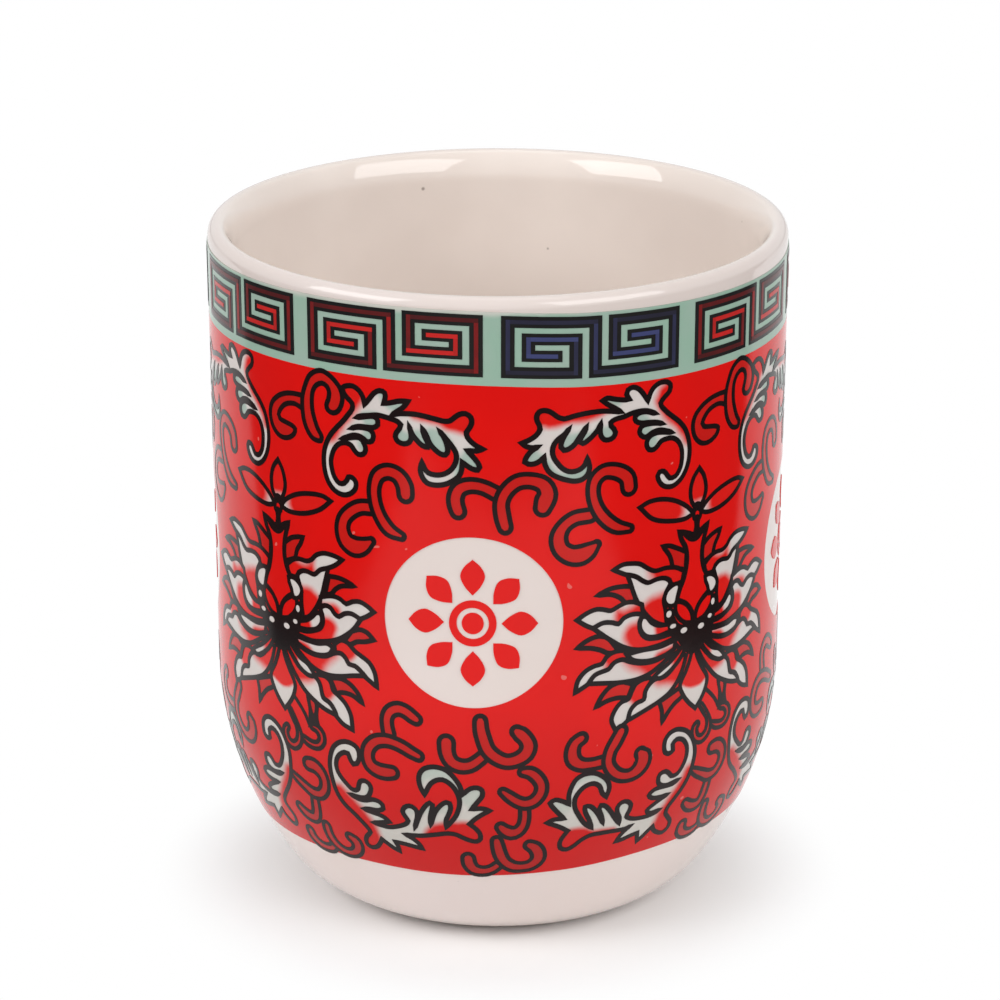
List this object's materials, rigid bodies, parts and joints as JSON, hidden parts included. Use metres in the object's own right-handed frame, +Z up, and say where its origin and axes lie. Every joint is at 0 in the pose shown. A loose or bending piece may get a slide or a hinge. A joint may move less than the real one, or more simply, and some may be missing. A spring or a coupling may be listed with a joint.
{
  "type": "tea cup",
  "caption": "Tall handleless porcelain cup with a rounded lip, a turned foot ring and a fired-on enamel print of key fret, red ground and white round reserves.",
  "frame": {"origin": "centre of the foot ring's resting face", "axes": "+Z up along the cup's axis of revolution; -Y is the front, just right of the middle of one round reserve; +X is to the right seen from the front"},
  "size_m": [0.0706, 0.0706, 0.0846],
  "materials": {
    "bare_porcelain": "matt fired clay, bare only at the foot ring",
    "clear_glaze": "glossy clear glaze over warm white porcelain",
    "turquoise_enamel": "glossy fired enamel",
    "red_enamel": "glossy fired enamel",
    "black_enamel": "glossy fired enamel",
    "blue_enamel": "glossy fired enamel"
  },
  "bodies": {
    "root": {"porcelain_body": "bare_porcelain", "clear_glaze": "clear_glaze", "base_glaze": "clear_glaze", "turquoise_band": "turquoise_enamel", "red_ground": "red_enamel", "black_key_fret": "black_enamel", "red_key_lines": "red_enamel", "blue_key_lines": "blue_enamel", "roundel_rosettes": "red_enamel"}
  },
  "joints": []
}
